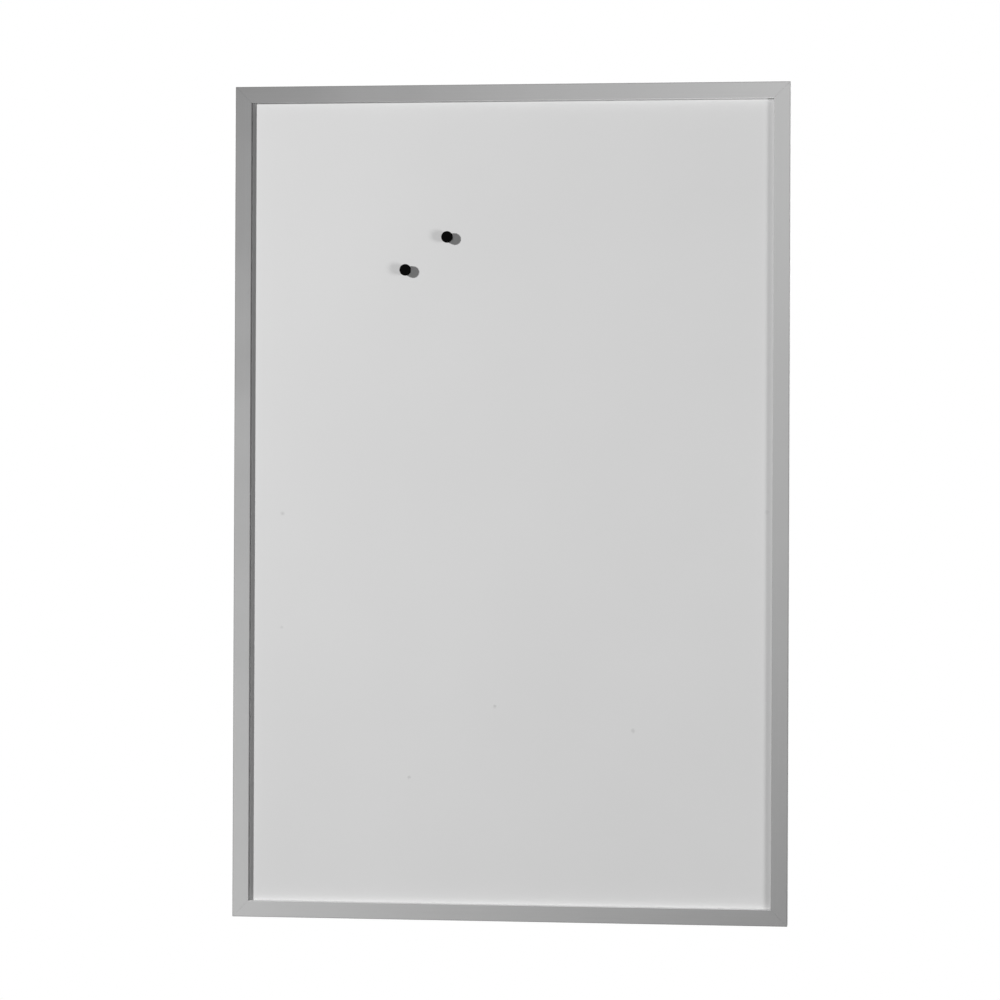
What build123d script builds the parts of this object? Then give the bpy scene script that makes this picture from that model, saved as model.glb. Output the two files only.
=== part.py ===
from build123d import *
import math
import os

# A portrait magnetic whiteboard in millimetres, with two small round magnets on it.
# X runs right and Z runs up for someone facing the board, whose writing side looks towards -Y.
# The wall is the plane Y = 0, and the origin is midway between the entries of the four wall hangers.

# Frame outline
board_width = 600.0
board_height = 900.0

# Rail section
rail_face = 17.5  # width of a rail from the front
rail_wall = 1.5  # every web of the extrusion but the rear flange
key_chamber_depth = 4.0  # hollow behind the face, front to back
flange_thickness = 1.8  # rear flange, behind the panel
flange_setback = 4.5  # how much narrower the rear flange is than the face
rail_edge_radius = 0.4
mitre_hairline = 0.08  # gap between two mitred ends

# Panel, front to back
sheet_thickness = 0.5  # enamelled steel
core_thickness = 10.2  # particle board
backing_thickness = 0.3  # galvanised steel
groove_clearance = 0.2  # from the backing to the rear flange
panel_edge_clearance = 0.5  # from the panel's edge to the floor of the groove

# Corner keys, L-shaped steel, inside the rails at each mitre
key_leg = 46.0  # outside corner to the tip of a leg
key_clearance = 0.15
key_tip_chamfer = 2.0

# Bumpers, rubber, on the rear flange
bumper_height = 3.5
bumper_edge_margin = 1.5  # from the bumper to each edge of the flange
bumper_taper = 0.6  # how much smaller the wall end's radius is
bumper_edge_radius = 0.5
bumper_inset = 32.0  # from the end of a side rail to the bumper's middle

# Wall hangers, pressed steel, with a raised bridge that holds the keyhole
hanger_thickness = 1.0
hanger_entry_radius = 5.0  # round entry, for the head of a wall screw
hanger_slot_radius = 2.4  # half the slot's width, for the shank
hanger_slot_rise = 10.0  # from the middle of the entry to the end of the slot
hanger_margin = 6.6  # plate above and below the keyhole
hanger_bridge_side = 10.0  # bridge to the left and right of the entry
hanger_ear = 15.0
hanger_ear_radius = 3.0
hanger_bend_radius = 0.6  # inside of each bend
hanger_wall_gap = 0.2  # from the bridge to the wall
hanger_side_gap = 17.0  # from the rear flange to the hanger, sideways
hanger_end_gap = 33.0  # from the rear flange to the hanger, up or down

# Hanger screws, pan head, two to a hanger
screw_radius = 1.75
screw_head_radius = 3.3
screw_head_height = 2.2
screw_head_edge_radius = 1.2
screw_depth_share = 0.8  # of the core's thickness
screw_hole_clearance = 0.1
screw_tip_clearance = 0.4
screw_cross_width = 0.9
screw_cross_span = 3.6
screw_cross_depth = 1.1

# Magnets: a black grip that tapers to the board, a steel cup and a magnet disc
magnet_radius = 6.25
magnet_height = 11.0
magnet_head_height = 1.8  # front part of the grip, at its full radius
magnet_taper = 1.55  # how much smaller the grip's radius is on the board
magnet_edge_radius = 0.6
grip_wall = 1.0
cup_wall = 0.7
cup_floor = 1.2
disc_height = 2.8
magnet_part_clearance = 0.05
magnet_names = ("upper", "lower")
# Place of each magnet on the writing area, rightwards and upwards from its lower left corner
magnet_place_shares = ((0.380, 0.8305), (0.300, 0.7897))

# One overrun for every cut, and one limit for every fillet between two walls
overrun = 2.0
fillet_limit_share = 0.9

# Depths, as Y values from the front face back to the wall
panel_thickness = sheet_thickness + core_thickness + backing_thickness
groove_depth = panel_thickness + groove_clearance
recess_depth = rail_wall + key_chamber_depth + rail_wall
frame_depth = recess_depth + groove_depth + flange_thickness
flange_back_y = -bumper_height
front_y = flange_back_y - frame_depth
writing_y = front_y + recess_depth
core_front_y = writing_y + sheet_thickness
core_back_y = core_front_y + core_thickness
panel_back_y = core_back_y + backing_thickness
bridge_back_y = -hanger_wall_gap

# Widths and places that follow from the sizes above
flange_width = rail_face - flange_setback
panel_edge = rail_wall + panel_edge_clearance
writing_width = board_width - 2 * rail_face
writing_height = board_height - 2 * rail_face
hanger_bridge_length = 2 * (hanger_entry_radius + hanger_bridge_side)
hanger_length = hanger_bridge_length + 2 * hanger_ear
hanger_below = hanger_entry_radius + hanger_margin
hanger_above = hanger_slot_rise + hanger_slot_radius + hanger_margin
hanger_x = board_width / 2 - flange_width - hanger_side_gap - hanger_length / 2
hanger_z = board_height / 2 - flange_width - hanger_end_gap - hanger_above
screw_x = hanger_bridge_length / 2 + hanger_ear / 2
screw_z = (hanger_above - hanger_below) / 2
ear_back_y = panel_back_y + hanger_thickness
screw_depth = core_thickness * screw_depth_share
screw_point = 2 * screw_radius

corners = {
    "top_left": (-1, 1),
    "top_right": (1, 1),
    "bottom_left": (-1, -1),
    "bottom_right": (1, -1),
}


def block(x_span, y_span, z_span):
    """A box between two values along each axis."""
    spans = (x_span, y_span, z_span)
    middle = [sum(span) / 2 for span in spans]
    size = [span[1] - span[0] for span in spans]
    return Pos(*middle) * Box(*size)


def panel_block(y_span):
    """A layer of the panel, which reaches into the groove of every rail."""
    half_width = board_width / 2 - panel_edge
    half_height = board_height / 2 - panel_edge
    return block((-half_width, half_width), y_span, (-half_height, half_height))


def towards_wall(shape, x, y, z):
    """A shape made along +Z, turned to run towards the wall and moved to its place."""
    return Pos(x, y, z) * Rot(-90, 0, 0) * shape


def towards_front(shape, x, y, z):
    """A shape made along +Z, turned to run away from the wall and moved to its place."""
    return Pos(x, y, z) * Rot(90, 0, 0) * shape


def rod(radius, length):
    """A cylinder that starts at Z = 0."""
    return Cylinder(radius, length, align=(Align.CENTER, Align.CENTER, Align.MIN))


def round_corners(face, points, radius):
    """The face with its corners at these points rounded."""
    picked = [face.vertices().sort_by_distance(Vector(*point))[0] for point in points]
    return fillet(picked, radius)


def section_piece(y_span, across_span):
    """A rectangle of the rail's section: Y, and the distance in from the frame's outer edge."""
    middle = (sum(y_span) / 2, sum(across_span) / 2)
    return Pos(*middle) * Rectangle(y_span[1] - y_span[0], across_span[1] - across_span[0])


def rail_section():
    """The extrusion's section: key chamber at the front, panel groove, rear flange."""
    outline = section_piece((front_y, flange_back_y), (0, rail_face))
    corner_points = [(front_y, 0), (front_y, rail_face), (flange_back_y, 0)]
    radius = min(rail_edge_radius, rail_wall * fillet_limit_share)
    outline = round_corners(outline, corner_points, radius)
    chamber_y = (front_y + rail_wall, writing_y - rail_wall)
    chamber = section_piece(chamber_y, (rail_wall, rail_face - rail_wall))
    groove_y = (writing_y, writing_y + groove_depth)
    groove = section_piece(groove_y, (rail_wall, rail_face + overrun))
    step_y = (writing_y + groove_depth, flange_back_y + overrun)
    step = section_piece(step_y, (flange_width, rail_face + overrun))
    return outline - chamber - groove - step


def rail(length):
    """A rail along X, mitred at both ends, with its outer edge on Z = 0 and its inner edge above."""
    bar = extrude(Plane.YZ * rail_section(), amount=length / 2, both=True)
    end = length / 2 - mitre_hairline / math.sqrt(2)
    outline = Polyline(
        (-end, 0),
        (end, 0),
        (end - rail_face, rail_face),
        (-end + rail_face, rail_face),
        close=True,
    )
    wedge = extrude(Plane.XZ * make_face(outline), amount=frame_depth + bumper_height + overrun)
    return bar & wedge


def rails():
    """The four rails, each turned so that its inner edge faces the middle of the board."""
    across, upright = rail(board_width), rail(board_height)
    return {
        "rail_bottom": Pos(0, 0, -board_height / 2) * across,
        "rail_top": Pos(0, 0, board_height / 2) * Rot(0, 180, 0) * across,
        "rail_left": Pos(-board_width / 2, 0, 0) * Rot(0, 90, 0) * upright,
        "rail_right": Pos(board_width / 2, 0, 0) * Rot(0, -90, 0) * upright,
    }


def corner_key(side_x, side_z):
    """An L-shaped key that fills the chamber of the two rails that meet at a corner."""
    low = rail_wall + key_clearance
    high = rail_face - rail_wall - key_clearance
    tip = low + key_leg
    outline = Polyline((low, low), (tip, low), (tip, high), (high, high), (high, tip), (low, tip), close=True)
    face = make_face(outline)
    tips = [(tip, low), (tip, high), (high, tip), (low, tip)]
    picked = [face.vertices().sort_by_distance(Vector(*point))[0] for point in tips]
    face = chamfer(picked, min(key_tip_chamfer, (high - low) / 2 * fillet_limit_share))
    # The plate is drawn from the board's lower left corner, then turned in place to its own corner.
    thickness = key_chamber_depth - 2 * key_clearance
    plate = extrude(Plane.XZ * face, amount=thickness)
    back_y = writing_y - rail_wall - key_clearance
    plate = Pos(-board_width / 2, back_y, -board_height / 2) * plate
    if side_x > 0:
        plate = mirror(plate, about=Plane.YZ)
    if side_z > 0:
        plate = mirror(plate, about=Plane.XY)
    return plate


def screw_places():
    """Where the screws of every hanger enter the back of the panel, as (x, z)."""
    places = []
    for side_x, side_z in corners.values():
        for side in (-1, 1):
            places.append((side_x * hanger_x + side * screw_x, side_z * hanger_z + screw_z))
    return places


def with_screw_holes(layer, front, back):
    """The layer with a hole between two depths for each hanger screw."""
    hole = rod(screw_radius + screw_hole_clearance, back - front)
    for x, z in screw_places():
        layer -= towards_wall(hole, x, front, z)
    return layer


def core_board():
    """The core, with blind pilot holes from its back."""
    pilot_front = core_back_y - screw_depth - screw_tip_clearance
    return with_screw_holes(panel_block((core_front_y, core_back_y)), pilot_front, core_back_y + overrun)


def backing_sheet():
    """The backing, with holes for the hanger screws."""
    sheet = panel_block((core_back_y, panel_back_y))
    return with_screw_holes(sheet, core_back_y - overrun, panel_back_y + overrun)


def hanger_strip():
    """The hanger's pressed strip, seen from above: ear, bridge, ear."""
    end, bend = hanger_length / 2, hanger_bridge_length / 2
    inner = bend - hanger_thickness
    bridge_front_y = bridge_back_y - hanger_thickness
    outline = Polyline(
        (-end, panel_back_y),
        (-inner, panel_back_y),
        (-inner, bridge_front_y),
        (inner, bridge_front_y),
        (inner, panel_back_y),
        (end, panel_back_y),
        (end, ear_back_y),
        (bend, ear_back_y),
        (bend, bridge_back_y),
        (-bend, bridge_back_y),
        (-bend, ear_back_y),
        (-end, ear_back_y),
        close=True,
    )
    rise = bridge_back_y - panel_back_y
    inside = min(hanger_bend_radius, (rise - 2 * hanger_thickness) / 2 * fillet_limit_share)
    inside_points = [(-inner, bridge_front_y), (inner, bridge_front_y), (bend, ear_back_y), (-bend, ear_back_y)]
    outside_points = [(-inner, panel_back_y), (inner, panel_back_y), (bend, bridge_back_y), (-bend, bridge_back_y)]
    face = round_corners(make_face(outline), inside_points, inside)
    face = round_corners(face, outside_points, inside + hanger_thickness)
    strip = extrude(face, amount=hanger_below + hanger_above)
    return Pos(0, 0, -hanger_below) * strip


def keyhole():
    """The keyhole's cutter: a round entry and a narrower slot above it, right through the bridge."""
    shape = Circle(hanger_entry_radius)
    shape += Pos(0, hanger_slot_rise / 2) * Rectangle(2 * hanger_slot_radius, hanger_slot_rise)
    shape += Pos(0, hanger_slot_rise) * Circle(hanger_slot_radius)
    depth = hanger_thickness + 2 * overrun
    return Pos(0, bridge_back_y + overrun, 0) * extrude(Plane.XZ * shape, amount=depth)


def hanger_plate(side_x, side_z):
    """A hanger, with its entry's middle at the hanger's place on the back of the board."""
    plate = hanger_strip() - keyhole()
    ear_corners = plate.edges().filter_by(Axis.Y).group_by(lambda edge: abs(edge.center().X))[-1]
    plate = fillet(ear_corners, min(hanger_ear_radius, hanger_ear / 2 * fillet_limit_share))
    hole = rod(screw_radius + screw_hole_clearance, hanger_thickness + 2 * overrun)
    for side in (-1, 1):
        plate -= towards_wall(hole, side * screw_x, panel_back_y - overrun, screw_z)
    return Pos(side_x * hanger_x, 0, side_z * hanger_z) * plate


def hanger_screw(x, z):
    """A pan-head screw whose head bears on the hanger's ear."""
    shank_length = hanger_thickness + backing_thickness + screw_depth - screw_point
    head = rod(screw_head_radius, screw_head_height)
    rim = head.edges().group_by(Axis.Z)[-1]
    head = fillet(rim, min(screw_head_edge_radius, screw_head_height * fillet_limit_share))
    cross_z = (screw_head_height - screw_cross_depth, screw_head_height + overrun)
    reach, half = screw_cross_span / 2, screw_cross_width / 2
    head -= block((-reach, reach), (-half, half), cross_z)
    head -= block((-half, half), (-reach, reach), cross_z)
    shank = Pos(0, 0, -shank_length) * rod(screw_radius, shank_length)
    tip = Pos(0, 0, -shank_length - screw_point / 2) * Cone(0, screw_radius, screw_point)
    return towards_wall(head + shank + tip, x, ear_back_y, z)


def bumper(side_x, side_z):
    """A tapered rubber bumper on the rear flange of a side rail."""
    base = flange_width / 2 - bumper_edge_margin
    wall_end = base - min(bumper_taper, base / 2)
    pad = Pos(0, 0, bumper_height / 2) * Cone(base, wall_end, bumper_height)
    rim = pad.edges().group_by(Axis.Z)[-1]
    pad = fillet(rim, min(bumper_edge_radius, wall_end / 2, bumper_height * fillet_limit_share))
    x = side_x * (board_width / 2 - flange_width / 2)
    z = side_z * (board_height / 2 - bumper_inset)
    return towards_wall(pad, x, flange_back_y, z)


def magnet_pieces(x, z):
    """A magnet's grip, cup and disc, all level with the writing surface they cling to."""
    foot_radius = magnet_radius - min(magnet_taper, magnet_radius / 2)
    cup_radius = foot_radius - grip_wall - magnet_part_clearance
    cup_bore = cup_radius - cup_wall
    cup_height = disc_height + cup_floor
    waist_height = magnet_height - magnet_head_height
    grip = Pos(0, 0, waist_height / 2) * Cone(foot_radius, magnet_radius, waist_height)
    grip += Pos(0, 0, waist_height) * rod(magnet_radius, magnet_head_height)
    rim = grip.edges().group_by(Axis.Z)[-1]
    grip = fillet(rim, min(magnet_edge_radius, magnet_head_height * fillet_limit_share))
    grip -= rod(cup_radius + magnet_part_clearance, cup_height)
    cup = rod(cup_radius, cup_height) - rod(cup_bore, disc_height)
    disc = rod(cup_bore - magnet_part_clearance, disc_height)
    pieces = {"grip": grip, "cup": cup, "disc": disc}
    return {name: towards_front(piece, x, writing_y, z) for name, piece in pieces.items()}


def magnets():
    """Both magnets, at their places on the writing area."""
    found = {}
    for name, (right_share, up_share) in zip(magnet_names, magnet_place_shares):
        x = (right_share - 1 / 2) * writing_width
        z = (up_share - 1 / 2) * writing_height
        for piece, solid in magnet_pieces(x, z).items():
            found[f"{name}_magnet_{piece}"] = solid
    return found


def whiteboard():
    """Every piece of the whiteboard under its own name."""
    pieces = rails()
    pieces["writing_sheet"] = panel_block((writing_y, core_front_y))
    pieces["core_board"] = core_board()
    pieces["backing_sheet"] = backing_sheet()
    for corner, sides in corners.items():
        pieces[f"corner_key_{corner}"] = corner_key(*sides)
        pieces[f"hanger_plate_{corner}"] = hanger_plate(*sides)
        pieces[f"wall_bumper_{corner}"] = bumper(*sides)
    pieces["hanger_screws"] = Compound([hanger_screw(x, z) for x, z in screw_places()])
    pieces.update(magnets())
    return pieces


os.makedirs("parts", exist_ok=True)
for piece_name, shape in whiteboard().items():
    export_step(shape, f"parts/{piece_name}.step")
print(f"frame {board_width} x {board_height} x {frame_depth}, front at Y = {front_y}, writing at Y = {writing_y}")
print(f"hanger entries at X = {hanger_x} and Z = {hanger_z}, back of panel at Y = {panel_back_y}")
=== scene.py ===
import math

import bpy
from mathutils import Matrix, Vector


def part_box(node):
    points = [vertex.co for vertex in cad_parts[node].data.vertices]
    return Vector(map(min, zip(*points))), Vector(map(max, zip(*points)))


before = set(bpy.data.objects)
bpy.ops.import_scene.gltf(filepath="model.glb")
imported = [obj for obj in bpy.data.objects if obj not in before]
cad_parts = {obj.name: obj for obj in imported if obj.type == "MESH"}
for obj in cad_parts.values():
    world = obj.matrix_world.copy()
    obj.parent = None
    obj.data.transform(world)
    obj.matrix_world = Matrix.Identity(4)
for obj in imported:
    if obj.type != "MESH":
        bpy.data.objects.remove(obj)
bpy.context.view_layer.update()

# The board, from the frame, in metres
HALF_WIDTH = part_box("rail_right")[1].x
HALF_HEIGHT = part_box("rail_top")[1].z
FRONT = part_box("rail_top")[0].y
PANEL_HALF_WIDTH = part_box("rail_right")[0].x
PANEL_HALF_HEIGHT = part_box("rail_top")[0].z
WRITING_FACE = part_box("writing_sheet")[0].y
BACK_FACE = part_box("backing_sheet")[1].y

# Camera, in metres and degrees, level with the middle of the board and a little to its right
CAMERA_PLACE = (0.3942, -3.5235, 0.0)
CAMERA_YAW = 6.579
CAMERA_PITCH = -0.048
CAMERA_ROLL = 0.242
CAMERA_LENS = 117.98
SENSOR_WIDTH = 36.0
CLIP_START = 0.05
CLIP_END = 60.0

# What the lamps aim at, and the way that each lit face looks
BOARD_MIDDLE = (0.0, WRITING_FACE, 0.0)
BACK_MIDDLE = (0.0, BACK_FACE, 0.0)
TOP_MIDDLE = (0.0, -0.01, HALF_HEIGHT)
FORWARDS = (0.0, -1.0, 0.0)
BACKWARDS = (0.0, 1.0, 0.0)
UPWARDS = (0.0, 0.0, 1.0)
# Lamps: name, place, aim, width, share of a full light that it gives at its aim, and the way the lit face looks
LAMPS = (
    ("key", (-2.250, -3.0165, 0.770), BOARD_MIDDLE, 0.20, 0.738, FORWARDS),
    ("fill", (2.274, -1.9365, -0.128), BOARD_MIDDLE, 0.95, 0.258, FORWARDS),
    ("back_left", (-1.900, 2.500, 0.900), BACK_MIDDLE, 1.40, 0.55, BACKWARDS),
    ("back_right", (1.900, 2.500, 0.900), BACK_MIDDLE, 1.40, 0.35, BACKWARDS),
    ("overhead", (0.0, 1.300, 2.300), TOP_MIDDLE, 1.20, 0.45, UPWARDS),
)
# Strength of the plain light all round
AMBIENT = 0.005

# Floor: a disc in metres, its display tones, and the tone that it has for the light it sends back
FLOOR_LEVEL = -0.80
FLOOR_RADIUS = 1.9
FLOOR_FADE = 0.8
FLOOR_CLEAR_RIM = 0.02
FLOOR_CENTRE = (0.0, -0.3)
FLOOR_RINGS = 12
FLOOR_SPOKES = 96
FLOOR_TONES = (238, 243)
FLOOR_UNSEEN_TONE = 80
FLOOR_SPECKLE = 220.0
FLOOR_SPECKLE_DEPTH = 0.0003
FLOOR_CLOUD = 1.6
FLOOR_CLOUD_SHARE = 0.6

WHITE = (1.0, 1.0, 1.0, 1.0)
NO_SCALE = (1.0, 1.0, 1.0)
NO_TURN = (0.0, 0.0, 0.0)
# The lowest and highest values that most of a noise lies between
USUAL = (0.3, 0.7)


def linear(tone):
    """A display tone from 0 to 255 as the linear value that a shader takes."""
    share = tone / 255
    return share / 12.92 if share <= 0.04045 else ((share + 0.055) / 1.055) ** 2.4


def grey(tone, tint=(1.0, 1.0, 1.0)):
    return (*(linear(tone) * part for part in tint), 1.0)


class Look:
    """A material and short calls for the nodes that it is made of."""

    def __init__(self, name):
        self.material = bpy.data.materials.new(name)
        self.material.use_nodes = True
        self.tree = self.material.node_tree
        self.tree.nodes.clear()
        self.output = self.tree.nodes.new("ShaderNodeOutputMaterial")

    def put(self, socket, value):
        """Links the socket to the value if that is a socket too, and sets it to the value otherwise."""
        if isinstance(value, bpy.types.NodeSocket):
            self.tree.links.new(value, socket)
        else:
            socket.default_value = value

    def node(self, kind, inputs=(), **settings):
        made = self.tree.nodes.new("ShaderNode" + kind)
        for name, value in settings.items():
            setattr(made, name, value)
        for key, value in dict(inputs).items():
            self.put(made.inputs[key], value)
        return made

    def place(self, scale=NO_SCALE, turn=NO_TURN):
        """The point in the row frame, in metres, turned by degrees and scaled."""
        point = self.node("TexCoord").outputs["Object"]
        if scale == NO_SCALE and turn == NO_TURN:
            return point
        turn = tuple(math.radians(angle) for angle in turn)
        return self.node("Mapping", {"Vector": point, "Scale": scale, "Rotation": turn}).outputs["Vector"]

    def axes(self):
        return self.node("SeparateXYZ", {"Vector": self.place()}).outputs

    def point(self, x, y, z):
        return self.node("CombineXYZ", {0: x, 1: y, 2: z}).outputs[0]

    def vector(self, operation, first, second, output="Vector"):
        return self.node("VectorMath", {0: first, 1: second}, operation=operation).outputs[output]

    def noise(self, place, scale, detail=2.0, roughness=0.5, distortion=0.0):
        inputs = {
            "Vector": place, "Scale": scale, "Detail": detail, "Roughness": roughness, "Distortion": distortion,
        }
        return self.node("TexNoise", inputs).outputs["Fac"]

    def math(self, operation, first, second=0.0):
        return self.node("Math", {0: first, 1: second}, operation=operation).outputs[0]

    def span(self, value, low, high, to_low=0.0, to_high=1.0, smooth=False):
        """The value's place between low and high, held at its ends, as a value from to_low to to_high."""
        kind = "SMOOTHSTEP" if smooth else "LINEAR"
        inputs = {"Value": value, "From Min": low, "From Max": high, "To Min": to_low, "To Max": to_high}
        return self.node("MapRange", inputs, interpolation_type=kind).outputs["Result"]

    def ramp(self, value, colours):
        """A blend through the colours, evenly spaced from a value of 0 to a value of 1."""
        made = self.node("ValToRGB", {"Fac": value})
        points = made.color_ramp.elements
        while len(points) < len(colours):
            points.new(1.0)
        for index, colour in enumerate(colours):
            points[index].position = index / (len(colours) - 1)
            points[index].color = colour
        return made.outputs["Color"]

    def mix(self, share, first, second):
        made = self.node("Mix", {"Factor": share}, data_type="RGBA")
        for socket, value in zip([s for s in made.inputs if s.type == "RGBA"], (first, second)):
            self.put(socket, value)
        return next(s for s in made.outputs if s.type == "RGBA")

    def bump(self, height, depth, strength, under=None):
        inputs = {"Height": height, "Distance": depth, "Strength": strength}
        if under is not None:
            inputs["Normal"] = under
        return self.node("Bump", inputs).outputs["Normal"]

    def shader(self, inputs):
        made = self.node("BsdfPrincipled", inputs)
        self.tree.links.new(made.outputs["BSDF"], self.output.inputs["Surface"])


# Aluminium rails: display tones of the front face at its left and right corners, which paint reflection and
# shade across the front as a blend between the corners, and of every other face
RAIL_TOP_PAINTED_TONES = (98, 164)
RAIL_BOTTOM_PAINTED_TONES = (158, 130)
RAIL_SIDE_TONE = 142
# Display tones of each rail's inner wall, at its left or lower end and at the other: painted light and shade
# that stand in for the light falling into the recess, not the metal's own colour
INNER_WALL_LIGHT_AND_SHADE_TONES = {
    "rail_top": (165, 246),
    "rail_bottom": (216, 222),
    "rail_left": (142, 112),
    "rail_right": (112, 150),
}
# Where these tones start and are full, in metres: behind the front, and outwards from the panel's edge
FRONT_SPAN = (0.0008, 0.0004)
WALL_SPAN = (0.00035, 0.0001)
# Half the strip in the middle of the board where the walls of one rail give way to those of its pair
PAIR_SPAN = 0.01
# Painted shade along the outer edge of the front face: where it starts and is full, in metres past the board's
# outline
OUTER_EDGE_SHADE_SPAN = (-0.0010, -0.0003)
OUTER_EDGE_SHADE_SHARE = 0.45
OUTER_EDGE_SHADE_TONE = 70
DIE_LINES = 1500.0
DIE_STRETCH = 0.004
DIE_LINE_TONE = 205
DIE_LINE_SHARE = 0.05
DIE_LINE_DEPTH = 0.000012
GRAIN = 3600.0
GRAIN_TONE = 60
GRAIN_SHARE = 0.04
GRAIN_DEPTH = 0.000008
RAIL_CLOUD = 14.0
RAIL_METAL = 0.45
RAIL_ROUGHNESS = (0.54, 0.62)
RAIL_CLOUD_ROUGHNESS = (-0.02, 0.03)


def front_painted_shading(look, x, z):
    """The front face's painted reflection and shade, blended between its four corners."""
    rightwards = look.span(x, -HALF_WIDTH, HALF_WIDTH)
    low = look.mix(rightwards, *map(grey, RAIL_BOTTOM_PAINTED_TONES))
    high = look.mix(rightwards, *map(grey, RAIL_TOP_PAINTED_TONES))
    return look.mix(look.span(z, -HALF_HEIGHT, HALF_HEIGHT), low, high)


def painted_wall_light_and_shade(look, length, across, reach, rails):
    """The painted light and shade along the inner wall of the rail on this side of the board."""
    share = look.span(length, -reach, reach)
    first, second = (look.mix(share, *map(grey, INNER_WALL_LIGHT_AND_SHADE_TONES[rail])) for rail in rails)
    return look.mix(look.span(across, -PAIR_SPAN, PAIR_SPAN), first, second)


def anodised(name, along, rails):
    """Satin anodised extrusion for the two rails along an axis, the left or lower one named first.

    It has die lines along the rail and etched grain, with painted reflection and shade across the front face,
    painted shade along its outer edge, and painted light and shade on the inner walls.
    """
    look = Look(name)
    x, y, z = look.axes()
    if along == "x":
        length, across, reach, edge = x, z, PANEL_HALF_WIDTH, PANEL_HALF_HEIGHT
        stretch = (DIE_STRETCH, 1.0, 1.0)
    else:
        length, across, reach, edge = z, x, PANEL_HALF_HEIGHT, PANEL_HALF_WIDTH
        stretch = (1.0, 1.0, DIE_STRETCH)
    start, full = FRONT_SPAN
    front = look.span(y, FRONT + start, FRONT + full)
    # The front face gets painted reflection and shade; every other face keeps one plain tone
    tone = look.mix(front, grey(RAIL_SIDE_TONE), front_painted_shading(look, x, z))
    lines = look.noise(look.place(stretch), DIE_LINES, 3.0, 0.6)
    grain = look.noise(look.place(), GRAIN, 2.0, 0.6)
    cloud = look.noise(look.place(), RAIL_CLOUD, 3.0, 0.5)
    tone = look.mix(look.span(lines, *USUAL, 0.0, DIE_LINE_SHARE), tone, grey(DIE_LINE_TONE))
    tone = look.mix(look.span(grain, 0.35, 0.75, 0.0, GRAIN_SHARE), tone, grey(GRAIN_TONE))
    # Painted shade: the front face darkens towards the board's outline
    past_side = look.math("SUBTRACT", look.math("ABSOLUTE", x), HALF_WIDTH)
    past_end = look.math("SUBTRACT", look.math("ABSOLUTE", z), HALF_HEIGHT)
    rim = look.span(look.math("MAXIMUM", past_side, past_end), *OUTER_EDGE_SHADE_SPAN, 0.0, OUTER_EDGE_SHADE_SHARE)
    tone = look.mix(look.math("MULTIPLY", rim, front), tone, grey(OUTER_EDGE_SHADE_TONE))
    # The inner walls get painted light and shade in place of the rail's tone
    start, full = WALL_SPAN
    wall = look.span(look.math("ABSOLUTE", across), edge + start, edge + full)
    tone = look.mix(wall, tone, painted_wall_light_and_shade(look, length, across, reach, rails))
    line_roughness = look.span(lines, *USUAL, *RAIL_ROUGHNESS)
    roughness = look.math("ADD", line_roughness, look.span(cloud, *USUAL, *RAIL_CLOUD_ROUGHNESS))
    normal = look.bump(lines, DIE_LINE_DEPTH, 0.5)
    normal = look.bump(grain, GRAIN_DEPTH, 0.5, normal)
    look.shader({"Base Color": tone, "Metallic": RAIL_METAL, "Roughness": roughness, "Normal": normal})
    return look.material


# White enamel
ENAMEL_TONE = 206
ENAMEL_TONE_PLAY = 1
ENAMEL_CLOUD = 5.0
WIPE_STRETCH = (1.0, 1.0, 9.0)
WIPE_TURN = (0.0, 24.0, 0.0)
WIPE_SCALE = 16.0
WIPE_TONE = 196
WIPE_TINT = (0.99, 1.0, 1.01)
WIPE_SHARE = 0.05
WIPE_ROUGHNESS = (0.36, 0.42)
CLOUD_ROUGHNESS = (-0.015, 0.015)
DUST = 900.0
DUST_TONE = 170
DUST_SHARE = 0.03
PEEL = 260.0
PEEL_DEPTH = 0.00006
ENAMEL_SHINE = {"Specular IOR Level": 0.15, "Coat Weight": 0.04, "Coat Roughness": 0.16}
# Small smudges left by a marker, in metres: x, z, radius and how dark they are
SPECKS = (
    (-0.2478, -0.0126, 0.0032, 0.22), (-0.0150, -0.2195, 0.0026, 0.26), (0.1345, -0.2438, 0.0034, 0.20),
    (-0.1078, -0.2970, 0.0028, 0.22), (-0.2480, -0.1362, 0.0024, 0.14), (0.2765, -0.0090, 0.0034, 0.12),
)
SPECK_TONE = 110
SPECK_CORE_SHARE = 0.15
RAGGED = 620.0
RAGGED_DEPTH = 0.0007


def smudged(look, tone):
    """The tone with the small smudges over it, each with a ragged edge."""
    x, _, z = look.axes()
    ragged = look.noise(look.place(), RAGGED, 2.0, 0.6)
    ragged = look.span(ragged, *USUAL, -RAGGED_DEPTH, RAGGED_DEPTH)
    flat = look.point(x, 0.0, z)
    for speck_x, speck_z, radius, share in SPECKS:
        away = look.vector("DISTANCE", flat, look.point(speck_x, 0.0, speck_z), "Value")
        away = look.math("ADD", away, ragged)
        stain = look.span(away, radius, radius * SPECK_CORE_SHARE, 0.0, share, smooth=True)
        tone = look.mix(stain, tone, grey(SPECK_TONE))
    return tone


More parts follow.
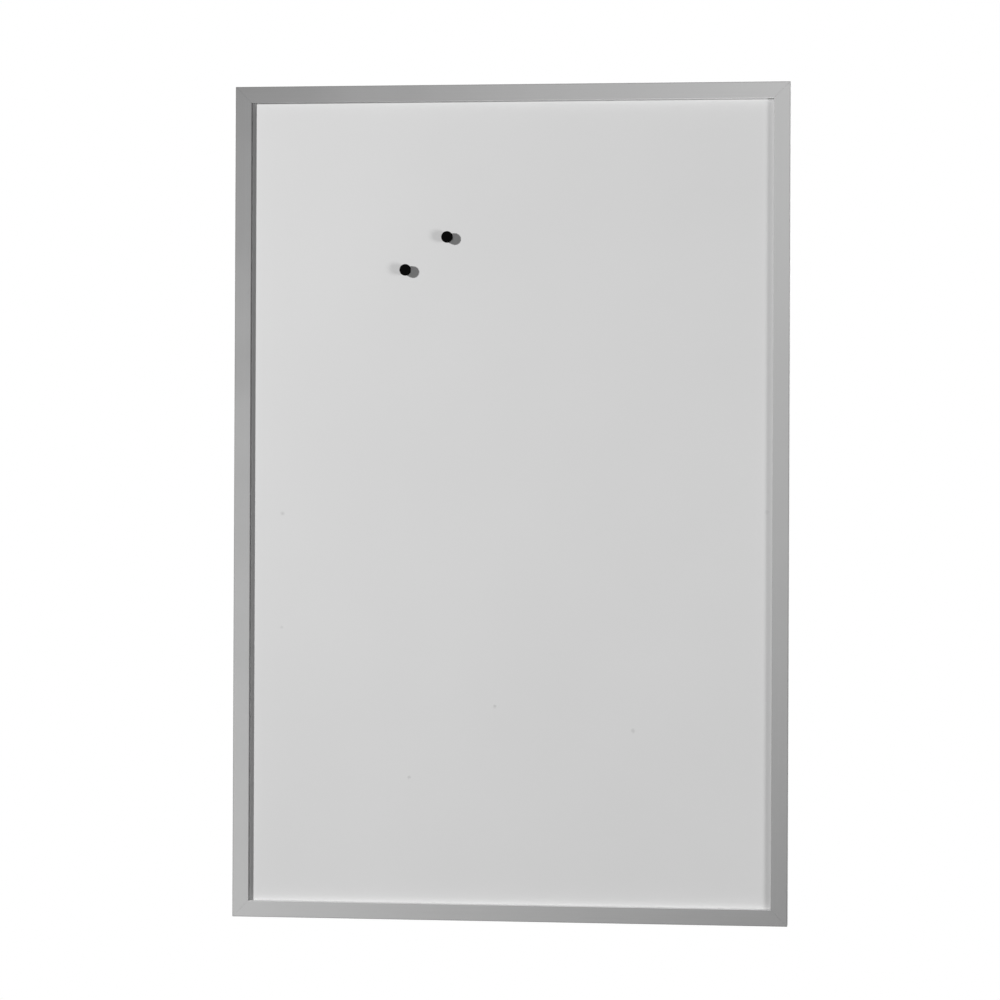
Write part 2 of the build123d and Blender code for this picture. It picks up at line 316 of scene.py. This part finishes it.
def enamelled():
    """White enamel: slight orange peel, faint wiping haze in its gloss and a few small smudges."""
    look = Look("white_enamel_look")
    slow = look.noise(look.place(), ENAMEL_CLOUD, 3.0, 0.5)
    wiped = look.noise(look.place(WIPE_STRETCH, WIPE_TURN), WIPE_SCALE, 4.0, 0.6, 0.6)
    dust = look.noise(look.place(), DUST, 2.0, 0.5)
    peel = look.noise(look.place(), PEEL, 2.0, 0.45)
    darker, lighter = grey(ENAMEL_TONE - ENAMEL_TONE_PLAY), grey(ENAMEL_TONE + ENAMEL_TONE_PLAY)
    tone = look.ramp(look.span(slow, *USUAL), (darker, lighter))
    tone = look.mix(look.span(wiped, 0.55, 0.8, 0.0, WIPE_SHARE), tone, grey(WIPE_TONE, WIPE_TINT))
    tone = look.mix(look.span(dust, 0.4, 0.8, 0.0, DUST_SHARE), tone, grey(DUST_TONE))
    tone = smudged(look, tone)
    wiped_roughness = look.span(wiped, 0.3, 0.8, *WIPE_ROUGHNESS)
    roughness = look.math("ADD", wiped_roughness, look.span(slow, *USUAL, *CLOUD_ROUGHNESS))
    normal = look.bump(peel, PEEL_DEPTH, 0.35)
    look.shader({"Base Color": tone, "Roughness": roughness, "Normal": normal, **ENAMEL_SHINE})
    return look.material


# Galvanised backing
SPANGLE_SCALE = 120.0
SPANGLE_WANDER = 0.0022
SPANGLE_TONES = (124, 134, 147)
SPANGLE_SHINE = (0.42, 0.54)
SPANGLE_FLAT = (1.0, 0.05, 1.0)
WANDER_SCALE = 240.0
WANDER_TURN = (0.0, 67.0, 0.0)
FEATHER_STRETCH = {"Scale": (1.0, 1.0, 0.16), "Location": (3.0, 0.0, 5.0)}
FEATHER_SCALE = 1500.0
FEATHER_TONE = 112
FEATHER_SHARE = 0.55
FEATHER_ROUGHNESS = 0.08
FEATHER_DEPTH = 0.00003
SEAM_TONE = 104
SEAM_SHARE = 0.30
SEAM_DEPTH = 0.00004
BLOOM_SCALE = 7.0
BLOOM_TONE = 162
BLOOM_SHARE = 0.30
BLOOM_ROUGHNESS = 0.14
ROLLED_STRETCH = (1.0, 1.0, 0.012)
ROLLED_SCALE = 700.0
ROLLED_TONE = 170
ROLLED_SHARE = 0.10
ZINC = (0.98, 1.0, 1.02)
ZINC_METAL = 0.75


def spangles(look):
    """Cells with wandering borders: a random colour in each, the way to its border, and its feathers."""
    place = look.place(SPANGLE_FLAT)
    bend = (-SPANGLE_WANDER, SPANGLE_WANDER)
    side = look.span(look.noise(place, WANDER_SCALE, 3.0, 0.6), 0.25, 0.75, *bend)
    turned_place = look.place(SPANGLE_FLAT, WANDER_TURN)
    lift = look.span(look.noise(turned_place, WANDER_SCALE, 3.0, 0.6), 0.25, 0.75, *bend)
    shifted = look.vector("ADD", place, look.point(side, 0.0, lift))
    inputs = {"Vector": shifted, "Scale": SPANGLE_SCALE, "Randomness": 1.0}
    cells = look.node("TexVoronoi", inputs, feature="F1").outputs
    border = look.node("TexVoronoi", inputs, feature="DISTANCE_TO_EDGE").outputs["Distance"]
    kind = look.node("SeparateColor", {"Color": cells["Color"]}).outputs
    inside = look.vector("SUBTRACT", shifted, cells["Position"])
    angle = look.span(kind[2], 0.0, 1.0, 0.0, math.tau)
    turned = look.node("VectorRotate", {"Vector": inside, "Angle": angle}, rotation_type="Y_AXIS").outputs[0]
    drawn = look.node("Mapping", {"Vector": turned, **FEATHER_STRETCH}).outputs["Vector"]
    return kind, border, look.noise(drawn, FEATHER_SCALE, 4.0, 0.65, 0.4)


def galvanised():
    """Hot dipped zinc: feathered spangles that each lie their own way, rolling lines and light bloom."""
    look = Look("galvanised_look")
    kind, border, feather = spangles(look)
    tone = look.ramp(kind[0], [grey(tone, ZINC) for tone in SPANGLE_TONES])
    tone = look.mix(look.span(feather, 0.32, 0.68, 0.0, FEATHER_SHARE), tone, grey(FEATHER_TONE, ZINC))
    tone = look.mix(look.span(border, 0.0, 0.09, SEAM_SHARE, 0.0, smooth=True), tone, grey(SEAM_TONE, ZINC))
    bloom = look.noise(look.place(), BLOOM_SCALE, 6.0, 0.62)
    tone = look.mix(look.span(bloom, 0.52, 0.78, 0.0, BLOOM_SHARE, smooth=True), tone, grey(BLOOM_TONE))
    rolled = look.noise(look.place(ROLLED_STRETCH), ROLLED_SCALE, 3.0, 0.6)
    tone = look.mix(look.span(rolled, 0.45, 0.75, 0.0, ROLLED_SHARE), tone, grey(ROLLED_TONE))
    feather_roughness = look.span(feather, *USUAL, 0.0, FEATHER_ROUGHNESS)
    shine = look.math("ADD", look.span(kind[1], 0.0, 1.0, *SPANGLE_SHINE), feather_roughness)
    roughness = look.math("ADD", shine, look.span(bloom, 0.52, 0.8, 0.0, BLOOM_ROUGHNESS))
    normal = look.bump(feather, FEATHER_DEPTH, 0.5)
    normal = look.bump(look.span(border, 0.0, 0.08), SEAM_DEPTH, 0.5, normal)
    look.shader({"Base Color": tone, "Metallic": ZINC_METAL, "Roughness": roughness, "Normal": normal})
    return look.material


# Particle board
CHIP_SCALE = 420.0
CHIP_FLAT = (1.0, 0.4, 1.0)
CHIP_COLOURS = ((0.30, 0.19, 0.10, 1.0), (0.46, 0.32, 0.18, 1.0), (0.62, 0.47, 0.29, 1.0))
CHIP_DEPTH = 0.0002
RESIN_COLOUR = (0.24, 0.15, 0.08, 1.0)
RESIN_SHARE = 0.35
FIBRE_STRETCH = (1.0, 1.0, 12.0)
FIBRE_SCALE = 700.0
CHIP_ROUGHNESS = (0.78, 0.92)


def chipped_board():
    """Pressed chips in several browns, darker resin between them."""
    look = Look("particle_board_look")
    chips = look.node("TexVoronoi", {"Vector": look.place(CHIP_FLAT), "Scale": CHIP_SCALE}, feature="F1")
    kind = look.node("SeparateColor", {"Color": chips.outputs["Color"]}).outputs
    fibre = look.noise(look.place(FIBRE_STRETCH), FIBRE_SCALE, 4.0, 0.6)
    tone = look.ramp(kind[0], CHIP_COLOURS)
    tone = look.mix(look.span(fibre, 0.35, 0.7, 0.0, RESIN_SHARE), tone, RESIN_COLOUR)
    normal = look.bump(chips.outputs["Distance"], CHIP_DEPTH, 0.6)
    look.shader({"Base Color": tone, "Roughness": look.span(fibre, *USUAL, *CHIP_ROUGHNESS), "Normal": normal})
    return look.material


# Plated steel: low and high tone, tint, low and high roughness, scale of its clouds, and turn of its scratches
PLATINGS = {
    "key_steel": ((112, 134), (1.0, 1.0, 1.0), (0.44, 0.56), 160.0, 20.0),
    "zinc_plate": ((144, 162), (0.98, 1.0, 1.03), (0.52, 0.62), 120.0, 70.0),
    "screw_steel": ((136, 160), (1.0, 1.0, 0.97), (0.30, 0.42), 300.0, 45.0),
    "cup_steel": ((170, 196), (1.0, 0.99, 0.97), (0.28, 0.38), 400.0, 15.0),
    "magnet_nickel": ((184, 208), (1.0, 0.99, 0.96), (0.14, 0.24), 500.0, 60.0),
}
PLATED_METAL = 0.92
PLATED_DEPTH = 0.00002
SCRATCH_STRETCH = (1.0, 1.0, 0.03)
SCRATCH_SCALE = 2200.0
SCRATCH_LIFT = 22
SCRATCH_SHARE = 0.3
SCRATCH_ROUGHNESS = 0.07
SCRATCH_DEPTH = 0.000003
FINE_SCALE = 2600.0
FINE_DROP = 34
FINE_SHARE = 0.18


def plated(slot):
    """Plated steel: cloudy plating, fine scratches and a slight dimpling of the strip."""
    (tone_low, tone_high), tint, roughnesses, cloud_scale, scratch_turn = PLATINGS[slot]
    look = Look(slot + "_look")
    cloud = look.noise(look.place(), cloud_scale, 4.0, 0.6)
    fine = look.noise(look.place(), FINE_SCALE, 2.0, 0.6)
    scratches = look.noise(look.place(SCRATCH_STRETCH, (0.0, scratch_turn, 0.0)), SCRATCH_SCALE, 3.0, 0.7)
    tone = look.ramp(look.span(cloud, *USUAL), (grey(tone_low, tint), grey(tone_high, tint)))
    tone = look.mix(look.span(scratches, 0.58, 0.75, 0.0, SCRATCH_SHARE), tone, grey(tone_high + SCRATCH_LIFT))
    tone = look.mix(look.span(fine, 0.5, 0.8, 0.0, FINE_SHARE), tone, grey(tone_low - FINE_DROP))
    scratch_roughness = look.span(scratches, 0.5, 0.8, 0.0, SCRATCH_ROUGHNESS)
    roughness = look.math("ADD", look.span(cloud, *USUAL, *roughnesses), scratch_roughness)
    normal = look.bump(cloud, PLATED_DEPTH, 0.4)
    normal = look.bump(scratches, SCRATCH_DEPTH, 0.4, normal)
    look.shader({"Base Color": tone, "Metallic": PLATED_METAL, "Roughness": roughness, "Normal": normal})
    return look.material


# Rubber bumpers
RUBBER_TONES = (52, 70)
RUBBER_TINT = (1.0, 0.99, 0.97)
RUBBER_BLOOM = 260.0
RUBBER_ROUGHNESS = (0.62, 0.80)
RUBBER_SPECULAR = 0.3
PORES = 3400.0
PORE_TONE = 30
PORE_SHARE = 0.4
PORE_DEPTH = 0.00004


def rubber():
    """Moulded rubber: dull bloom, pores and rubbed high spots."""
    look = Look("bumper_rubber_look")
    bloom = look.noise(look.place(), RUBBER_BLOOM, 4.0, 0.6)
    pores = look.noise(look.place(), PORES, 3.0, 0.7)
    dark, dusty = RUBBER_TONES
    tone = look.ramp(look.span(bloom, *USUAL), (grey(dark), grey(dusty, RUBBER_TINT)))
    tone = look.mix(look.span(pores, 0.55, 0.8, 0.0, PORE_SHARE), tone, grey(PORE_TONE))
    roughness = look.span(bloom, *USUAL, *RUBBER_ROUGHNESS)
    normal = look.bump(pores, PORE_DEPTH, 0.6)
    inputs = {"Base Color": tone, "Roughness": roughness, "Normal": normal}
    look.shader({**inputs, "Specular IOR Level": RUBBER_SPECULAR})
    return look.material


# Magnet grips
PLASTIC_TONES = (2, 5)
PLASTIC_ROUGHNESS = (0.46, 0.36)
PLASTIC_GRAIN = 4200.0
PLASTIC_GRAIN_ROUGHNESS = 0.06
PLASTIC_GRAIN_DEPTH = 0.00002
PLASTIC_SPECULAR = 0.015
RUB_STRETCH = (1.0, 1.0, 4.0)
RUB_TURN = (20.0, 35.0, 0.0)
RUB_SCALE = 330.0


def black_plastic():
    """Moulded black plastic: fine spark-eroded grain and faint rub marks."""
    look = Look("black_plastic_look")
    grain = look.noise(look.place(), PLASTIC_GRAIN, 3.0, 0.6)
    rubbed = look.noise(look.place(RUB_STRETCH, RUB_TURN), RUB_SCALE, 4.0, 0.6)
    tone = look.ramp(look.span(rubbed, 0.35, 0.75), [grey(tone) for tone in PLASTIC_TONES])
    rub_roughness = look.span(rubbed, 0.35, 0.75, *PLASTIC_ROUGHNESS)
    roughness = look.math("ADD", rub_roughness, look.span(grain, *USUAL, 0.0, PLASTIC_GRAIN_ROUGHNESS))
    normal = look.bump(grain, PLASTIC_GRAIN_DEPTH, 0.5)
    inputs = {"Base Color": tone, "Roughness": roughness, "Normal": normal}
    look.shader({**inputs, "Specular IOR Level": PLASTIC_SPECULAR})
    return look.material


def floor_look():
    """Pale matt floor that fades out towards its rim, is clear from below and sends back little light."""
    look = Look("floor_look")
    x, y, _ = look.axes()
    speckle = look.noise(look.place(), FLOOR_SPECKLE, 3.0, 0.6)
    cloud = look.noise(look.place(), FLOOR_CLOUD, 3.0, 0.5)
    speckle_share = look.span(speckle, *USUAL, 0.0, 1.0 - FLOOR_CLOUD_SHARE)
    shade = look.math("ADD", speckle_share, look.span(cloud, *USUAL, 0.0, FLOOR_CLOUD_SHARE))
    tone = look.ramp(shade, [grey(tone) for tone in FLOOR_TONES])
    path = look.node("LightPath").outputs
    seen = look.math("MAXIMUM", path["Is Camera Ray"], path["Is Glossy Ray"])
    seen = look.math("MAXIMUM", seen, path["Is Transmission Ray"])
    tone = look.mix(seen, grey(FLOOR_UNSEEN_TONE), tone)
    matt = look.node("BsdfDiffuse", {"Color": tone, "Normal": look.bump(speckle, FLOOR_SPECKLE_DEPTH, 0.2)})
    clear = look.node("BsdfTransparent")
    away = look.vector("DISTANCE", look.point(x, y, 0.0), (*FLOOR_CENTRE, 0.0), "Value")
    fade = look.span(away, FLOOR_RADIUS - FLOOR_FADE, FLOOR_RADIUS - FLOOR_CLEAR_RIM, smooth=True)
    open_below = look.math("MAXIMUM", fade, look.node("NewGeometry").outputs["Backfacing"])
    both = look.node("MixShader", {0: open_below, 1: matt.outputs[0], 2: clear.outputs[0]})
    look.tree.links.new(both.outputs[0], look.output.inputs["Surface"])
    return look.material


def make_floor():
    """A round floor with rings, so that its fade has points to follow in an export too."""
    points = [(*FLOOR_CENTRE, FLOOR_LEVEL)]
    faces = []
    middle_x, middle_y = FLOOR_CENTRE
    for ring in range(1, FLOOR_RINGS + 1):
        reach = FLOOR_RADIUS * ring / FLOOR_RINGS
        for spoke in range(FLOOR_SPOKES):
            angle = math.tau * spoke / FLOOR_SPOKES
            points.append((middle_x + reach * math.cos(angle), middle_y + reach * math.sin(angle), FLOOR_LEVEL))
    for spoke in range(FLOOR_SPOKES):
        after = (spoke + 1) % FLOOR_SPOKES
        faces.append((0, 1 + spoke, 1 + after))
        for ring in range(FLOOR_RINGS - 1):
            inner = 1 + ring * FLOOR_SPOKES
            outer = inner + FLOOR_SPOKES
            faces.append((inner + spoke, outer + spoke, outer + after, inner + after))
    mesh = bpy.data.meshes.new("floor")
    mesh.from_pydata(points, [], faces)
    mesh.materials.append(floor_look())
    floor = bpy.data.objects.new("floor", mesh)
    bpy.context.scene.collection.objects.link(floor)


def make_camera():
    yaw, pitch, roll = (math.radians(angle) for angle in (CAMERA_YAW, CAMERA_PITCH, CAMERA_ROLL))
    ahead = Vector((-math.sin(yaw) * math.cos(pitch), math.cos(yaw) * math.cos(pitch), -math.sin(pitch)))
    level = Vector((math.cos(yaw), math.sin(yaw), 0.0))
    above = level.cross(ahead)
    right = math.cos(roll) * level + math.sin(roll) * above
    up = -math.sin(roll) * level + math.cos(roll) * above
    data = bpy.data.cameras.new("camera")
    data.lens = CAMERA_LENS
    data.sensor_width = SENSOR_WIDTH
    data.clip_start = CLIP_START
    data.clip_end = CLIP_END
    camera = bpy.data.objects.new("camera", data)
    turn = Matrix((right, up, -ahead)).transposed().to_4x4()
    camera.matrix_world = Matrix.Translation(CAMERA_PLACE) @ turn
    bpy.context.scene.collection.objects.link(camera)
    bpy.context.scene.camera = camera


def make_lamps():
    """Round soft lamps; a share of 1 lights a white face at the lamp's aim to its written colour."""
    for name, place, aim, width, share, normal in LAMPS:
        towards = Vector(place) - Vector(aim)
        lean = towards.normalized().dot(Vector(normal))
        data = bpy.data.lights.new(name, "AREA")
        data.shape = "DISK"
        data.size = width
        data.energy = share * math.pi ** 2 * towards.length_squared / lean
        lamp = bpy.data.objects.new(name, data)
        lamp.location = place
        lamp.rotation_mode = "QUATERNION"
        lamp.rotation_quaternion = towards.to_track_quat("Z", "Y")
        lamp.visible_camera = False
        bpy.context.scene.collection.objects.link(lamp)


def make_background(tree, strength):
    background = tree.nodes.new("ShaderNodeBackground")
    background.inputs["Color"].default_value = WHITE
    background.inputs["Strength"].default_value = strength
    return background.outputs[0]


def make_world():
    """White behind all that a camera, a gloss or a clear piece sees, and a little plain light all round."""
    world = bpy.data.worlds.new("studio")
    world.use_nodes = True
    tree = world.node_tree
    tree.nodes.clear()
    path = tree.nodes.new("ShaderNodeLightPath").outputs
    seen = path["Is Camera Ray"]
    for ray in ("Is Glossy Ray", "Is Transmission Ray"):
        either = tree.nodes.new("ShaderNodeMath")
        either.operation = "MAXIMUM"
        tree.links.new(seen, either.inputs[0])
        tree.links.new(path[ray], either.inputs[1])
        seen = either.outputs[0]
    both = tree.nodes.new("ShaderNodeMixShader")
    tree.links.new(seen, both.inputs[0])
    tree.links.new(make_background(tree, AMBIENT), both.inputs[1])
    tree.links.new(make_background(tree, 1.0), both.inputs[2])
    output = tree.nodes.new("ShaderNodeOutputWorld")
    tree.links.new(both.outputs[0], output.inputs["Surface"])
    bpy.context.scene.world = world


def dress():
    """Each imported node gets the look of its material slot, and each rail that of its direction."""
    looks = {
        "white_enamel": enamelled(),
        "particle_board": chipped_board(),
        "galvanised_steel": galvanised(),
        "bumper_rubber": rubber(),
        "black_plastic": black_plastic(),
        **{slot: plated(slot) for slot in PLATINGS},
    }
    across = anodised("anodised_across_look", "x", ("rail_bottom", "rail_top"))
    upright = anodised("anodised_upright_look", "z", ("rail_left", "rail_right"))
    rails = {"rail_top": across, "rail_bottom": across, "rail_left": upright, "rail_right": upright}
    for name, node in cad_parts.items():
        for place in node.material_slots:
            place.material = rails.get(name) or looks[place.material.name]


bpy.context.scene.view_settings.view_transform = "Standard"
make_camera()
make_lamps()
make_world()
make_floor()
dress()
